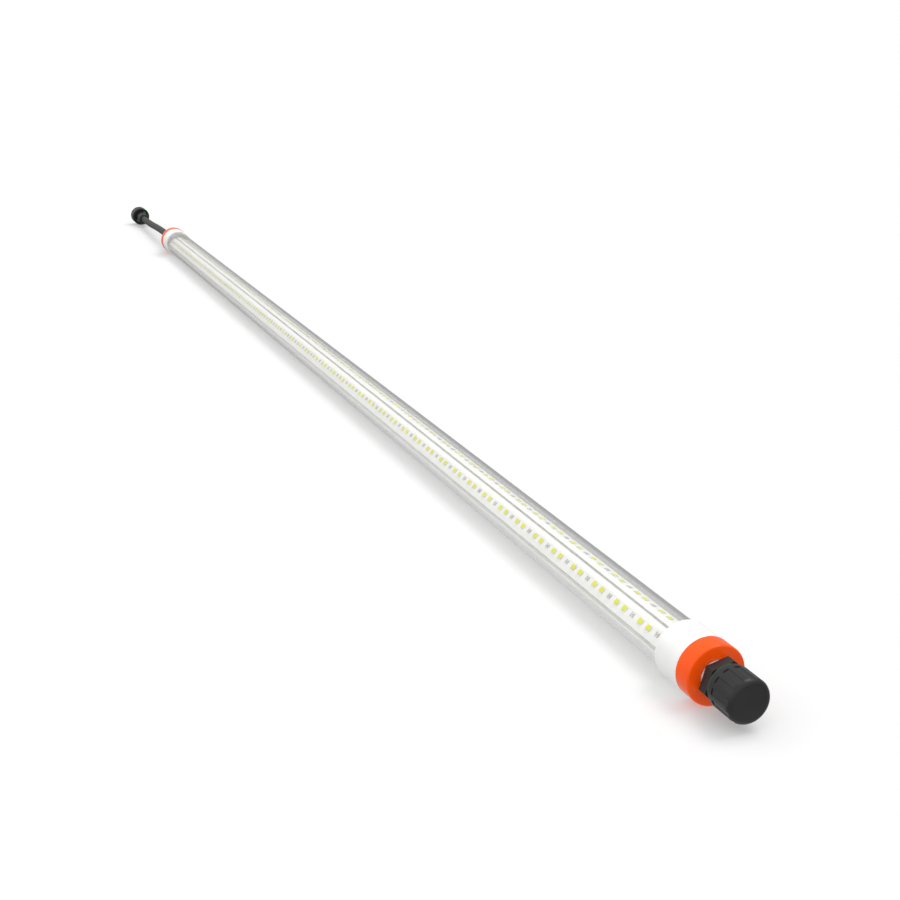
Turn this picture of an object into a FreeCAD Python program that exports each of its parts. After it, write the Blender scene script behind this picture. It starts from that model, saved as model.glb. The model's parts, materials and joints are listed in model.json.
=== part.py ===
"""Waterproof LED tube light, 1.5 m class, with a through-wired connector at each end.

Frame: X runs along the tube, +X towards the end with the blind cap, -X towards the cable.
+Z is up. The two orange rings stand on Z = 0 and the tube's axis is one ring radius above it.
X = 0 is half way between the blind cap's front and the cable gland's rubber tip.
Millimetres. Radii unless a name says otherwise.
"""
import FreeCAD
import Part
import math
import os

V = FreeCAD.Vector

# ---------------------------------------------------------------- driving dimensions
# End rings and caps
RING_R = 19.0
RING_LENGTH = 13.0
RING_HOLE_R = 10.1
RING_ROUND = 1.2
CAP_R = 18.6
CAP_SLEEVE = 24.6           # length of the cap's sleeve over the tube
CAP_FLOOR = 3.5             # thickness of the wall that closes the sleeve
CAP_RIM_ROUND = 0.5
BOSS_R = 9.9                # the cap's boss that carries the connector
BOSS_LENGTH = 16.4
PANEL_HOLE_R = 8.2          # hole through the boss

# Clear tube
TUBE_R = 16.75
TUBE_WALL = 2.0
TUBE_VISIBLE = 1473.0       # length between the two cap rims
SEAL_THICKNESS = 1.5        # flat seal under each tube end

# LED profile: an extrusion with a round back and two sloping seats, drawn in its own
# cross-section, l sideways and h towards the light side
PROFILE_ROLL = 15.2         # degrees that the profile is turned about the tube axis
PROFILE_R = 14.3
CAVITY_R = 12.9
ROOF_H = 4.6                # flat middle of the cavity's roof
ROOF_DEPTH = 3.55           # from a board's face to the cavity
# slot with inward lips between two shoulders
GROOVE = [(1.8, 5.9), (1.8, 7.3), (1.0, 7.4), (1.05, 8.1), (3.6, 8.0)]
# undercut gutter between a board and its rail
GUTTER = [(11.35, 0.35), (12.95, 0.0), (13.3, 1.2), (13.9, 0.9)]
RAIL_H = -1.9               # where the rail meets the round back

# LED boards and the parts on them
BOARD_TILT = 30.0           # slope of each board from the profile's flat
BOARD_THICKNESS = 1.0
BOARD_INNER = -2.3          # board edges, down the slope from the middle of the LED row
BOARD_OUTER = 5.9
BOARD_END_GAP = 2.0         # from the end of the profile to the end of a board
LED_FOOT = (7.17, 6.20)     # middle of the LED row on the board's face
LED_PITCH = 10.0
LED_SIZE = (4.8, 3.4, 0.7)  # along the tube, across it, height
RESISTOR_SIZE = (3.4, 2.9, 0.5)
ROW_START_GAP = 37.8        # from the near ring's back to the first component of a row
ROW_END_GAP = 8.0           # least distance from the far cap's rim to the last one

# End plates and their screws
PLATE_THICKNESS = 3.0
PLATE_GAP = 5.5             # room for the locknut between the cap's floor and the plate
SCREW_PLACES = [(0.0, 5.0), (0.0, -10.9)]
SCREW_R = 1.25
SCREW_DEPTH = 9.0           # length of screw inside the profile
SCREW_HEAD_R = 2.3
SCREW_HEAD_HEIGHT = 1.5
SCREW_SLOT = (3.0, 0.6, 0.8)                # length, width and depth of each slot of the cross
PORT_R = 2.9                # outside of the wall round each screw port

# Driver inside the profile: its board, then its parts as offset from the board's near end,
# length, width and height
DRIVER_OFFSET = 70.0        # from the profile's far end to the driver
DRIVER_LENGTH = 230.0
DRIVER_WIDTH = 22.0
DRIVER_H = -3.0             # top of the driver's circuit board
DRIVER_BOARD_THICKNESS = 1.6
TERMINAL_BLOCK = (12.0, 14.0, 4.7)
TERMINAL_OFFSET = 4.0
OUTPUT_TERMINAL_OFFSET = 212.0
FUSE_OFFSET = 22.0
FUSE_LENGTH = 10.0
FUSE_R = 2.4
FUSE_SIDE = -5.0
CHOKE_OFFSET = 38.0
CHOKE = (14.0, 12.0, 4.7)
RECTIFIER_OFFSET = 60.0
RECTIFIER = (7.0, 6.0, 2.5)
CAPACITOR_OFFSETS = (74.0, 94.0)
CAPACITOR_LENGTH = 16.0
CAPACITOR_R = 2.3
TRANSFORMER_OFFSET = 118.0
TRANSFORMER = (18.0, 15.0, 4.8)
TRANSISTOR_OFFSET = 144.0
TRANSISTOR = (10.0, 7.0, 4.4)
TRANSISTOR_SIDE = 4.0
INDUCTOR_OFFSET = 162.0
INDUCTOR = (12.0, 12.0, 4.5)
FILM_R = 12.6               # outside of the insulating film under the driver
FILM_THICKNESS = 0.6
FILM_MARGIN = 5.0           # film beyond each end of the driver

# Cores of the through wiring
CORE_NAMES = ("live", "neutral", "earth")
WIRE_R = 1.4
WIRE_PLACES = [(4.6, -7.6), (0.0, -6.4), (-4.6, -7.6)]           # along the profile's back
WIRE_STRAIGHT = 11.0        # straight start of each core
WIRE_DROP = 40.0            # distance in which a core reaches the back of the profile
CORE_CIRCLE = 1.8           # circle of the three cores in the cable
CONTACT_CIRCLE = 4.6        # circle of the three contacts
SHEATH_END = 5.5            # where the cable's sheath ends, inside of the far ring's back

# Socket at the near end
HEX_ACROSS_FLATS = 25.0
HEX_THICKNESS = 6.8
HEX_TURN = 16.2             # degrees from vertical of one corner of the hexagon
HEX_BEVEL = 0.8             # height of the bevel on the hexagon's corners
GASKET_R = 9.8
GASKET_THICKNESS = 0.8
SPIGOT_R = 11.1             # threaded nose
SPIGOT_LENGTH = 17.8
SOCKET_BORE_R = 9.0
BORE_DEPTH_IN_FLANGE = 4.0
THREAD_START = 5.0          # from the hexagon's face to the first ridge
THREAD_HEIGHT = 0.3
THREAD_PITCH = 2.0
SHANK_END = 7.4             # where the connectors' shanks end, inside of the ring's back
LOCKNUT_LENGTH = 3.5
LOCKNUT_ACROSS_FLATS = 20.0
CARRIER_R = 6.9             # contact carrier behind the flange
PIN_R = 1.2
PIN_TAIL = 8.5              # where the pins' tails end, inside of the ring's back
PIN_REACH = 12.0            # from the hexagon's face to the pins' tips
PIN_ROUND = 0.8
GREEN_SEAL_R = 12.5
GREEN_SEAL_THICKNESS = 2.2
GREEN_SEAL_ROUND = 0.5

# Blind cap and coupling ring
COVER_R = 13.95
COVER_BORE_R = 11.75
COVER_LENGTH = 21.2
COVER_GAP = 0.1             # between the green seal and the blind cap
COVER_FACE = 3.4            # thickness of the blind cap's front
COVER_FRONT_ROUND = 3.6
FLUTE_COUNT = 12
FLUTE_DEPTH = 0.5
FLUTE_WIDTH = 4.1
FLUTE_TURN = -6.5           # turn of the first pocket about the axis, in degrees
FLUTE_START = 3.4           # from the blind cap's rim to the pockets
FLUTE_END = 1.2             # from the pockets to the blind cap's front

# Cable gland at the far end
GLAND_HEX_LENGTH = 6.0
GLAND_ACROSS_FLATS = 20.0
GLAND_HEX_TURN = 10.0
GLAND_SLEEVE_R = 8.0
GLAND_SLEEVE_LENGTH = 8.0
GLAND_NUT_LENGTH = 14.0
GLAND_NUT_FLATS_LENGTH = 8.0
GLAND_NUT_TURN = 40.0
GLAND_DOME_R = 9.6
GLAND_DOME_ROUND = 2.6
BOOT_ROOT_R = 6.4           # rubber sleeve inside the gland
BOOT_LENGTH = 24.0          # tapered part outside the gland
BOOT_GROOVES = 4
BOOT_GROOVE_PITCH = 4.4
BOOT_GROOVE_WIDTH = 1.4

# Supply cable: route points after the boot's tip, as (distance from the tip, height)
CABLE_R = 5.0
AXIS_Z = RING_R
PLUG_Z = COVER_R            # the coupling ring lies on the ground
CABLE_ROUTE = [(0.0, AXIS_Z), (58.0, AXIS_Z), (150.0, PLUG_Z), (203.0, PLUG_Z)]

# Plug on the cable
PLUG_NUT_R = 8.3
PLUG_NUT_LENGTH = 22.0
PLUG_NUT_ROUND = 2.8
PLUG_NUT_WALL = 3.0         # end wall of the clamping nut
NUT_GRIP_COUNT = 10
NUT_GRIP = (14.0, 1.4, 0.4)                 # length, width and depth of a grip groove
PLUG_NECK_LENGTH = 8.4      # between the clamping nut and the coupling ring
NECK_R = 7.2
NECK_BORE_R = 6.3
NECK_END = 6.0              # from the nut's rear face to the end of the neck
PLUG_SEAL_LENGTH = 9.0
PLUG_SHEATH = 16.0          # length of the cable's sheath inside the plug
HUB_R = 7.9                 # the part of the plug that the coupling ring turns on
HUB_BORE_R = 6.9
HUB_WALL = 1.2
HUB_STEP = 4.4              # how far the hub stands out of the coupling ring
PLUG_NOSE_R = 8.6           # enters the mating socket
NOSE_RECESS = 6.0           # from the coupling ring's mouth back to the nose
FLANGE_R = 10.6
FLANGE = (11.0, 14.0)       # flange that the coupling ring pulls on, from the mouth
SLEEVE_R = 1.7              # contact sleeves
SLEEVE_BORE_DEPTH = 9.0
PLUG_CORE_R = 0.9
COUPLING_LENGTH = 20.0
HUB_CLEARANCE = 0.08
MOUTH_R = 12.1              # plain entry of the coupling ring, in front of its thread
MOUTH_LENGTH = 4.5
BACK_RECESS_R = 10.6
BACK_RECESS = 4.0           # depth of the coupling ring's back recess
COLLAR_R = 9.9
COLLAR_THICKNESS = 1.2
TAB_WIDTH = 4.2
TAB_STANDS_OUT = 0.6        # how far the tabs stand out of the coupling ring's back
TAB_TURN = 47.6             # degrees between the line through the two tabs and level ground

# General
FIT = 0.1                   # clearance of a fit, per side
FREE = 0.3                  # clearance of parts that must not touch
CUT = 1.0                   # how far a cutting shape runs past the face it opens
WIDE = 20.0                 # more than any half width inside the tube

# ---------------------------------------------------------------- positions worked out
SLEEVE_LENGTH = TUBE_VISIBLE + 2 * CAP_SLEEVE       # from ring to ring
HEX_BACK = BOSS_LENGTH + GASKET_THICKNESS           # distances from the near ring's back
HEX_FRONT = HEX_BACK + HEX_THICKNESS
COVER_START = HEX_FRONT + GREEN_SEAL_THICKNESS + COVER_GAP
COVER_FRONT = COVER_START + COVER_LENGTH
GLAND_HEX_FRONT = BOSS_LENGTH + GLAND_HEX_LENGTH    # distances from the far ring's back
GLAND_FRONT = GLAND_HEX_FRONT + GLAND_NUT_LENGTH
BOOT_TIP = GLAND_FRONT + BOOT_LENGTH
X_NEAR = (SLEEVE_LENGTH + BOOT_TIP + COVER_FRONT) / 2 - COVER_FRONT   # back of the near ring
X_FAR = X_NEAR - SLEEVE_LENGTH                                        # back of the far ring
HEX_FACE_X = X_NEAR + HEX_FRONT

TUBE_INSERT = CAP_SLEEVE - CAP_FLOOR - SEAL_THICKNESS
TUBE_X0 = X_FAR + CAP_SLEEVE - TUBE_INSERT
TUBE_X1 = X_NEAR - CAP_SLEEVE + TUBE_INSERT
PLATE_OUTER = -CAP_FLOOR - PLATE_GAP                # faces of an end plate, from a ring's back
PLATE_INNER = PLATE_OUTER - PLATE_THICKNESS
PROFILE_X0 = X_FAR - PLATE_INNER
PROFILE_X1 = X_NEAR + PLATE_INNER
BOARD_X0 = PROFILE_X0 + BOARD_END_GAP
BOARD_X1 = PROFILE_X1 - BOARD_END_GAP
ROW_START = X_NEAR - ROW_START_GAP
ROW_COUNT = int((ROW_START - (X_FAR + CAP_SLEEVE + ROW_END_GAP)) / LED_PITCH) + 1
TILT = math.radians(BOARD_TILT)
ALONG = (math.cos(TILT), -math.sin(TILT))           # down the slope of the right-hand board
OUT_OF = (math.sin(TILT), math.cos(TILT))           # out of that board's face
DRIVER_X0 = PROFILE_X0 + DRIVER_OFFSET
DRIVER_X1 = DRIVER_X0 + DRIVER_LENGTH

CABLE_TIP_X = X_FAR - BOOT_TIP
PLUG_X = CABLE_TIP_X - CABLE_ROUTE[-1][0]           # rear face of the plug's clamping nut
COUPLING_X1 = PLUG_X - PLUG_NUT_LENGTH - PLUG_NECK_LENGTH
COUPLING_X0 = COUPLING_X1 - COUPLING_LENGTH
HUB_END = COUPLING_X1 + HUB_STEP
COLLAR_X0 = COUPLING_X1 - BACK_RECESS + FREE

os.makedirs("parts", exist_ok=True)


def save(name, shape):
    """Write one piece, or one group of separate pieces, to its own STEP file."""
    shape.exportStep("parts/%s.step" % name)


# ---------------------------------------------------------------- basic shapes
def rod(x0, x1, radius, y=0.0, z=AXIS_Z):
    """Round bar parallel to X."""
    return Part.makeCylinder(radius, x1 - x0, V(x0, y, z), V(1, 0, 0))


def pipe(x0, x1, outer, inner, y=0.0, z=AXIS_Z):
    """Bush parallel to X."""
    return rod(x0, x1, outer, y, z).cut(rod(x0 - CUT, x1 + CUT, inner, y, z))


def plug_rod(x0, x1, radius):
    """Round bar on the plug's axis."""
    return rod(x0, x1, radius, 0.0, PLUG_Z)


def plug_pipe(x0, x1, outer, inner):
    """Bush on the plug's axis."""
    return pipe(x0, x1, outer, inner, 0.0, PLUG_Z)


def turned(outline, z=AXIS_Z):
    """Solid of revolution about the line through z, from (x, radius) corners."""
    points = [V(x, 0, z + r) for x, r in outline]
    face = Part.Face(Part.makePolygon(points + [points[0]]))
    return face.revolve(V(0, 0, z), V(1, 0, 0), 360)


def hexagon(x0, x1, across_flats, turn=0.0):
    """Hexagonal prism on the tube's axis, one corner turned from vertical towards +Y."""
    corner = across_flats / math.sqrt(3)
    points = []
    for i in range(7):
        angle = math.radians(turn + 60 * i)
        points.append(V(x0, corner * math.sin(angle), AXIS_Z + corner * math.cos(angle)))
    return Part.Face(Part.makePolygon(points)).extrude(V(x1 - x0, 0, 0))


def round_rims(shape, rims, size):
    """Fillet the circular edges that stand at these (x, radius) places."""
    chosen = []
    for edge in shape.Edges:
        curve = edge.Curve
        if not isinstance(curve, Part.Circle):
            continue
        for x, radius in rims:
            if abs(curve.Center.x - x) < 0.01 and abs(curve.Radius - radius) < 0.01:
                chosen.append(edge)
    return shape.makeFillet(size, chosen)


def across(l, h, x=0.0):
    """Point of the LED profile's own cross-section: l sideways, h towards the light side."""
    roll = math.radians(PROFILE_ROLL)
    y = l * math.cos(roll) - h * math.sin(roll)
    z = AXIS_Z + l * math.sin(roll) + h * math.cos(roll)
    return V(x, y, z)


def slab(x0, x1, l0, l1, h0, h1):
    """Rectangular block in the LED profile's frame."""
    corners = [(l0, h0), (l1, h0), (l1, h1), (l0, h1), (l0, h0)]
    face = Part.Face(Part.makePolygon([across(l, h, x0) for l, h in corners]))
    return face.extrude(V(x1 - x0, 0, 0))


def profile_rod(x0, x1, radius, l, h):
    """Round bar parallel to X at a place in the LED profile's frame."""
    return Part.makeCylinder(radius, x1 - x0, across(l, h, x0), V(1, 0, 0))


def tube_on_route(points, radius, name):
    """Round tube on straight runs joined by tangent arcs as large as the runs allow."""
    edges = []
    start = points[0]
    length = 0.0
    for before, corner, after in zip(points, points[1:], points[2:]):
        back = (before - corner).normalize()
        ahead = (after - corner).normalize()
        half_turn = (math.pi - back.getAngle(ahead)) / 2
        trim = 0.45 * min((before - corner).Length, (after - corner).Length)
        arc_radius = trim / math.tan(half_turn)
        first = corner + back * trim
        last = corner + ahead * trim
        inwards = (back + ahead).normalize()
        middle = corner + inwards * (arc_radius / math.cos(half_turn) - arc_radius)
        edges.append(Part.LineSegment(start, first).toShape())
        edges.append(Part.Arc(first, middle, last).toShape())
        length += (first - start).Length + arc_radius * 2 * half_turn
        print("%s: bend of %.1f degrees, radius %.1f mm"
              % (name, math.degrees(2 * half_turn), arc_radius))
        start = last
    edges.append(Part.LineSegment(start, points[-1]).toShape())
    length += (points[-1] - start).Length
    direction = (points[1] - points[0]).normalize()
    section = Part.Wire(Part.makeCircle(radius, points[0], direction))
    tube = Part.Wire(edges).makePipeShell([section], True, False)
    expected = math.pi * radius ** 2 * length
    print("%s: length %.1f mm, volume %.4f of section times length"
          % (name, length, tube.Volume / expected))
    return tube


def end_side(end):
    """Back of the ring at one end, and the direction that points out of that end."""
    return (X_NEAR, 1) if end == "near" else (X_FAR, -1)


def span(end, a, b):
    """X range of a stretch that runs from a to b outwards of the ring's back."""
    x, out = end_side(end)
    return sorted((x + out * a, x + out * b))


def contact_place(i, circle):
    """Sideways and upward offset of contact i; no contact is in line with a screw."""
    angle = math.radians(PROFILE_ROLL + 30 - 120 * i)
    return circle * math.cos(angle), circle * math.sin(angle)


# ---------------------------------------------------------------- clear tube and its caps
def clear_tube():
    return pipe(TUBE_X0, TUBE_X1, TUBE_R, TUBE_R - TUBE_WALL)


def end_cap(end):
    """White cap: a sleeve over the tube, a floor, and a boss for the connector."""
    x, out = end_side(end)
    sleeve = rod(*span(end, -CAP_SLEEVE, 0), CAP_R)
    sleeve = round_rims(sleeve, [(x - out * CAP_SLEEVE, CAP_R)], CAP_RIM_ROUND)
    cap = sleeve.fuse(rod(*span(end, -CUT, BOSS_LENGTH), BOSS_R))
    cap = cap.cut(rod(*span(end, -CAP_SLEEVE - CUT, -CAP_FLOOR), TUBE_R + FIT))
    cap = cap.cut(rod(*span(end, -CAP_FLOOR - CUT, BOSS_LENGTH + CUT), PANEL_HOLE_R))
    return cap.removeSplitter()


def end_ring(end):
    """Orange ring pushed onto the boss against the cap."""
    x, out = end_side(end)
    ring = pipe(*span(end, 0, RING_LENGTH), RING_R, RING_HOLE_R)
    ring = round_rims(ring, [(x + out * RING_LENGTH, RING_R)], RING_ROUND)
    return round_rims(ring, [(x + out * RING_LENGTH, RING_HOLE_R)], RING_ROUND / 4)


def tube_seal(end):
    """Flat rubber ring that the tube's end is pressed against."""
    return pipe(*span(end, -CAP_FLOOR - SEAL_THICKNESS, -CAP_FLOOR), TUBE_R, TUBE_R - TUBE_WALL)


def end_plate(end):
    """Plastic plate that closes the profile and lets the three cores through."""
    plate = rod(*span(end, PLATE_INNER, PLATE_OUTER), PROFILE_R)
    stretch = span(end, PLATE_INNER - CUT, PLATE_OUTER + CUT)
    for l, h in SCREW_PLACES:
        plate = plate.cut(profile_rod(*stretch, SCREW_R + FIT, l, h))
    if end == "far":
        return plate.cut(rod(*stretch, CORE_CIRCLE + WIRE_R + FIT))
    for i in range(len(CORE_NAMES)):
        y, z = contact_place(i, CONTACT_CIRCLE)
        plate = plate.cut(rod(*stretch, WIRE_R + FREE, y, AXIS_Z + z))
    return plate


def plate_screws(end):
    """Two cross-head screws through the end plate into the profile's screw ports."""
    slot_length, slot_width, slot_depth = SCREW_SLOT
    half_length = slot_length / 2
    half_width = slot_width / 2
    head_top = PLATE_OUTER + SCREW_HEAD_HEIGHT
    slot_range = span(end, head_top - slot_depth, head_top + CUT)
    screws = []
    for l, h in SCREW_PLACES:
        shank = profile_rod(*span(end, PLATE_INNER - SCREW_DEPTH, PLATE_OUTER + FIT), SCREW_R, l, h)
        screw = shank.fuse(profile_rod(*span(end, PLATE_OUTER, head_top), SCREW_HEAD_R, l, h))
        screw = screw.cut(slab(*slot_range, l - half_width, l + half_width,
                               h - half_length, h + half_length))
        screw = screw.cut(slab(*slot_range, l - half_length, l + half_length,
                               h - half_width, h + half_width))
        screws.append(screw)
    return Part.makeCompound(screws)


# ---------------------------------------------------------------- LED profile and boards
def on_slope(side, s, n):
    """Point s down the slope and n out of the board's face; side is -1 or 1."""
    l = LED_FOOT[0] + s * ALONG[0] + n * OUT_OF[0]
    h = LED_FOOT[1] + s * ALONG[1] + n * OUT_OF[1]
    return side * l, h


def slope_box(side, x0, x1, s0, s1, n0, n1):
    """Block that lies on a sloping board."""
    corners = [on_slope(side, s, n) for s, n in ((s0, n0), (s1, n0), (s1, n1), (s0, n1), (s0, n0))]
    face = Part.Face(Part.makePolygon([across(l, h, x0) for l, h in corners]))
    return face.extrude(V(x1 - x0, 0, 0))


def half_outline():
    """Light side of the profile from the groove to the round back, on the right."""
    points = list(GROOVE)
    points.append(on_slope(1, BOARD_INNER, 0.0))
    points.append(on_slope(1, BOARD_INNER, -BOARD_THICKNESS))
    points.append(on_slope(1, BOARD_OUTER, -BOARD_THICKNESS))
    points.extend(GUTTER)
    points.append((math.sqrt(PROFILE_R ** 2 - RAIL_H ** 2), RAIL_H))
    return points


def profile_cavity(x0, x1):
    """Hollow of the profile: round below, with a roof that follows the boards."""
    cavity = rod(x0, x1, CAVITY_R)
    cavity = cavity.cut(slab(x0 - CUT, x1 + CUT, -WIDE, WIDE, ROOF_H, WIDE))
    for side in (-1, 1):
        cavity = cavity.cut(slope_box(side, x0 - CUT, x1 + CUT, -WIDE, WIDE, -ROOF_DEPTH, WIDE))
    for l, h in SCREW_PLACES:
        cavity = cavity.cut(profile_rod(x0 - CUT, x1 + CUT, PORT_R, l, h))
    return cavity


def led_profile():
    """White aluminium extrusion: a ridge between two sloping seats over a round back."""
    right = half_outline()
    left = [(-l, h) for l, h in right]
    chain = [across(l, h, PROFILE_X0) for l, h in list(reversed(left)) + right]
    edges = [Part.LineSegment(a, b).toShape() for a, b in zip(chain, chain[1:])]
    bottom = across(0, -PROFILE_R, PROFILE_X0)
    edges.append(Part.Arc(chain[-1], bottom, chain[0]).toShape())
    body = Part.Face(Part.Wire(edges)).extrude(V(PROFILE_X1 - PROFILE_X0, 0, 0))
    body = body.cut(profile_cavity(PROFILE_X0 - CUT, PROFILE_X1 + CUT))
    for l, h in SCREW_PLACES:
        body = body.cut(profile_rod(PROFILE_X0 - CUT, PROFILE_X1 + CUT, SCREW_R, l, h))
    return body


def led_board(side):
    """Circuit board that lies in the seat on one side of the ridge."""
    return slope_box(side, BOARD_X0, BOARD_X1, BOARD_INNER + FIT / 2, BOARD_OUTER,
                     -BOARD_THICKNESS, 0)


def row_of(side, wanted, size):
    """Every LED, or every resistor, of one row: two LEDs, then one resistor, and again."""
    long, wide, high = size
    pieces = []
    for i in range(ROW_COUNT):
        kind = "resistor" if i % 3 == 0 else "led"
        if kind != wanted:
            continue
        x = ROW_START - i * LED_PITCH
        pieces.append(slope_box(side, x - long / 2, x + long / 2, -wide / 2, wide / 2, 0, high))
    return Part.makeCompound(pieces)


# ---------------------------------------------------------------- driver inside the profile
def driver_board():
    return slab(DRIVER_X0, DRIVER_X1, -DRIVER_WIDTH / 2, DRIVER_WIDTH / 2,
                DRIVER_H - DRIVER_BOARD_THICKNESS, DRIVER_H)


def driver_block(offset, size, l=0.0):
    """Rectangular component standing on the driver board."""
    length, width, height = size
    x0 = DRIVER_X0 + offset
    return slab(x0, x0 + length, l - width / 2, l + width / 2, DRIVER_H, DRIVER_H + height)


def driver_can(offset, length, radius, l=0.0):
    """Round component lying on the driver board."""
    x0 = DRIVER_X0 + offset
    return profile_rod(x0, x0 + length, radius, l, DRIVER_H + radius + FIT / 2)


def driver_insulator():
    """Trough of insulating film between the driver and the profile's back."""
    x0 = DRIVER_X0 - FILM_MARGIN
    x1 = DRIVER_X1 + FILM_MARGIN
    trough = pipe(x0, x1, FILM_R, FILM_R - FILM_THICKNESS)
    trough = trough.cut(slab(x0 - CUT, x1 + CUT, -WIDE, WIDE,
                             DRIVER_H - DRIVER_BOARD_THICKNESS, WIDE))
    return trough.cut(profile_rod(x0 - CUT, x1 + CUT, PORT_R + FREE, *SCREW_PLACES[1]))


def driver_capacitors():
    """Two electrolytic cans lying on the board."""
    return Part.makeCompound([driver_can(offset, CAPACITOR_LENGTH, CAPACITOR_R)
                              for offset in CAPACITOR_OFFSETS])


def through_wires():
    """Three cores from the cable end to the socket, along the back of the profile."""
    wires = []
    for i, (l, h) in enumerate(WIRE_PLACES):
        y, z = contact_place(i, CONTACT_CIRCLE)
        near = V(X_NEAR - PIN_TAIL, y, AXIS_Z + z)
        y, z = contact_place(i, CORE_CIRCLE)
        far = V(X_FAR + SHEATH_END, y, AXIS_Z + z)
        route = [near, near - V(WIRE_STRAIGHT, 0, 0), across(l, h, near.x - WIRE_DROP)]
        route += [across(l, h, far.x + WIRE_DROP), far + V(WIRE_STRAIGHT, 0, 0), far]
        wires.append(tube_on_route(route, WIRE_R, "through wire " + CORE_NAMES[i]))
    return wires


# ---------------------------------------------------------------- socket and blind cap
def thread_ridges(body, first, last, radius):
    """Ring-shaped ridges standing for an external thread, from x = first to last."""
    root = radius - 0.2
    crest = radius + THREAD_HEIGHT
    x = first
    while x + THREAD_PITCH / 2 <= last:
        ridge = [
            (x, root),
            (x + 0.25 * THREAD_PITCH, crest),
            (x + 0.45 * THREAD_PITCH, crest),
            (x + 0.70 * THREAD_PITCH, root),
        ]
        body = body.fuse(turned(ridge))
        x += THREAD_PITCH
    return body


def socket_body():
    """Hex flange with a threaded nose in front and a shank through the boss behind."""
    x_back = X_NEAR + HEX_BACK
    nose_end = HEX_FACE_X + SPIGOT_LENGTH
    corner = HEX_ACROSS_FLATS / math.sqrt(3)
    bevel_start = HEX_FACE_X - HEX_BEVEL
    bevel = turned([(x_back - CUT, 0), (x_back - CUT, corner + CUT), (bevel_start, corner + CUT),
                    (bevel_start, corner + HEX_BEVEL / 3), (HEX_FACE_X, corner - HEX_BEVEL * 0.75),
                    (HEX_FACE_X, 0)])
    flange = hexagon(x_back, HEX_FACE_X, HEX_ACROSS_FLATS, HEX_TURN).common(bevel)
    shank = rod(X_NEAR - SHANK_END, x_back + CUT, PANEL_HOLE_R)
    nose = rod(HEX_FACE_X - CUT, nose_end, SPIGOT_R)
    nose = thread_ridges(nose, HEX_FACE_X + THREAD_START, nose_end, SPIGOT_R)
    body = flange.fuse(shank).fuse(nose)
    body = body.cut(rod(HEX_FACE_X - BORE_DEPTH_IN_FLANGE, nose_end + CUT, SOCKET_BORE_R))
    body = body.cut(rod(X_NEAR - SHANK_END - CUT, HEX_FACE_X, CARRIER_R))
    return body.removeSplitter()


def socket_gasket():
    return pipe(X_NEAR + BOSS_LENGTH, X_NEAR + HEX_BACK, GASKET_R, PANEL_HOLE_R)


def locknut(end):
    """Flat hexagonal nut against the inside of the cap's floor."""
    nut = hexagon(*span(end, -CAP_FLOOR - LOCKNUT_LENGTH, -CAP_FLOOR), LOCKNUT_ACROSS_FLATS)
    return nut.cut(rod(*span(end, -CAP_FLOOR - LOCKNUT_LENGTH - CUT, 0), PANEL_HOLE_R))


def socket_insert():
    """Contact carrier: a flanged plug with three pin holes."""
    floor = HEX_FACE_X - BORE_DEPTH_IN_FLANGE
    carrier = rod(X_NEAR - SHANK_END + CUT, floor + CUT, CARRIER_R)
    carrier = carrier.fuse(rod(floor, HEX_FACE_X + 2, SOCKET_BORE_R))
    for i in range(len(CORE_NAMES)):
        y, z = contact_place(i, CONTACT_CIRCLE)
        carrier = carrier.cut(rod(X_NEAR - WIDE, HEX_FACE_X + WIDE, PIN_R, y, AXIS_Z + z))
    return carrier


def socket_pins():
    """Three round pins with rounded tips."""
    pins = []
    tip = HEX_FACE_X + PIN_REACH
    for i in range(len(CORE_NAMES)):
        y, z = contact_place(i, CONTACT_CIRCLE)
        pin = rod(X_NEAR - PIN_TAIL, tip, PIN_R, y, AXIS_Z + z)
        pins.append(round_rims(pin, [(tip, PIN_R)], PIN_ROUND))
    return Part.makeCompound(pins)


def green_seal():
    """Green rubber ring on the threaded nose, between the hexagon and the blind cap."""
    x_end = HEX_FACE_X + GREEN_SEAL_THICKNESS
    ring = pipe(HEX_FACE_X, x_end, GREEN_SEAL_R, SPIGOT_R)
    rims = [(HEX_FACE_X, GREEN_SEAL_R), (x_end, GREEN_SEAL_R)]
    return round_rims(ring, rims, GREEN_SEAL_ROUND)


def at_end(edge, x):
    """Whether both ends of an edge are close to a plane across X."""
    return all(abs(v.X - x) < FLUTE_WIDTH / 2 for v in edge.Vertexes)


def flutes(x0, x1, z, scooped):
    """Twelve flat-bottomed pockets round a cover, rounded off like a spoon at x = scooped."""
    bottom = COVER_R - FLUTE_DEPTH
    cutters = []
    for i in range(FLUTE_COUNT):
        pocket = Part.makeBox(x1 - x0, FLUTE_WIDTH, 3.0, V(x0, -FLUTE_WIDTH / 2, bottom))
        upright = [e for e in pocket.Edges if at_end(e, scooped) and e.BoundBox.ZLength > 1]
        pocket = pocket.makeFillet(FLUTE_WIDTH / 2 - 0.2, upright)
        rim = [e for e in pocket.Edges if at_end(e, scooped) and e.BoundBox.ZMax < bottom + 0.01]
        pocket = pocket.makeFillet(FLUTE_DEPTH * 0.9, rim)
        pocket.rotate(V(0, 0, 0), V(1, 0, 0), FLUTE_TURN - 360.0 / FLUTE_COUNT * i)
        pocket.translate(V(0, 0, z))
        cutters.append(pocket)
    return Part.makeCompound(cutters)


def blind_cap():
    """Fluted screw cap that closes the socket."""
    x0 = X_NEAR + COVER_START
    x1 = X_NEAR + COVER_FRONT
    cap = rod(x0, x1, COVER_R)
    cap = round_rims(cap, [(x1, COVER_R)], COVER_FRONT_ROUND)
    cap = round_rims(cap, [(x0, COVER_R)], 0.5)
    cap = cap.cut(rod(x0 - CUT, x1 - COVER_FACE, COVER_BORE_R))
    return cap.cut(flutes(x0 + FLUTE_START, x1 - FLUTE_END, AXIS_Z, x1 - FLUTE_END))


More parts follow.
